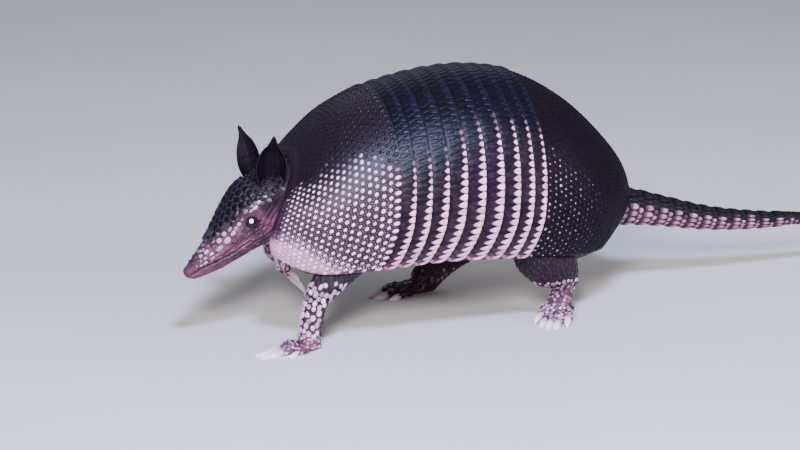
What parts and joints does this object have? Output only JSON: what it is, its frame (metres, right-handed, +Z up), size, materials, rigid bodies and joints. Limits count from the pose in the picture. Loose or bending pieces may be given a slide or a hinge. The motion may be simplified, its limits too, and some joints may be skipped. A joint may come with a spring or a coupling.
{
  "type": "armadillo model",
  "caption": "Life-size still model of a nine-banded armadillo in mid stride, head down, with a banded bony shell, leathery ears and a ringed, tapering tail.",
  "frame": {"origin": "middle of the model's bounding box, on the floor under the animal", "axes": "+X towards the tail's tip, along the animal; +Y towards the animal's right side; +Z up"},
  "size_m": [0.7208, 0.1832, 0.2174],
  "materials": {
    "shield": "horny bone, satin, with pale raised scutes",
    "band": "dark horny bone, satin, with pale triangular scales",
    "crown": "black polished horny plates",
    "skin": "bare purple-brown hide with fine scales",
    "foot": "lilac-pink hide with small scales",
    "ear": "dark pebbled hide",
    "eye": "black, wet and glossy",
    "claw": "pale horn",
    "tail": "pink-brown horny rings"
  },
  "bodies": {
    "root": {"band_1": "band", "band_2": "band", "band_3": "band", "band_4": "band", "band_5": "band", "band_6": "band", "band_7": "band", "band_8": "band", "band_9": "band", "ear_left": "ear", "ear_right": "ear", "eye_left": "eye", "eye_right": "eye", "front_claw_left_1": "claw", "front_claw_left_2": "claw", "front_claw_left_3": "claw", "front_claw_left_4": "claw", "front_claw_right_1": "claw", "front_claw_right_2": "claw", "front_claw_right_3": "claw", "front_claw_right_4": "claw", "front_foot_left": "foot", "front_foot_right": "foot", "front_leg_left": "skin", "front_leg_right": "skin", "head": "skin", "head_shield": "crown", "hind_claw_left_1": "claw", "hind_claw_left_2": "claw", "hind_claw_left_3": "claw", "hind_claw_left_4": "claw", "hind_claw_left_5": "claw", "hind_claw_right_1": "claw", "hind_claw_right_2": "claw", "hind_claw_right_3": "claw", "hind_claw_right_4": "claw", "hind_claw_right_5": "claw", "hind_foot_left": "foot", "hind_foot_right": "foot", "hind_leg_left": "skin", "hind_leg_right": "skin", "neck": "skin", "pelvic_shield": "shield", "scapular_shield": "shield", "tail_end_1": "tail", "tail_end_2": "tail", "tail_ring_1": "tail", "tail_ring_10": "tail", "tail_ring_11": "tail", "tail_ring_12": "tail", "tail_ring_2": "tail", "tail_ring_3": "tail", "tail_ring_4": "tail", "tail_ring_5": "tail", "tail_ring_6": "tail", "tail_ring_7": "tail", "tail_ring_8": "tail", "tail_ring_9": "tail", "trunk": "skin"}
  },
  "joints": []
}
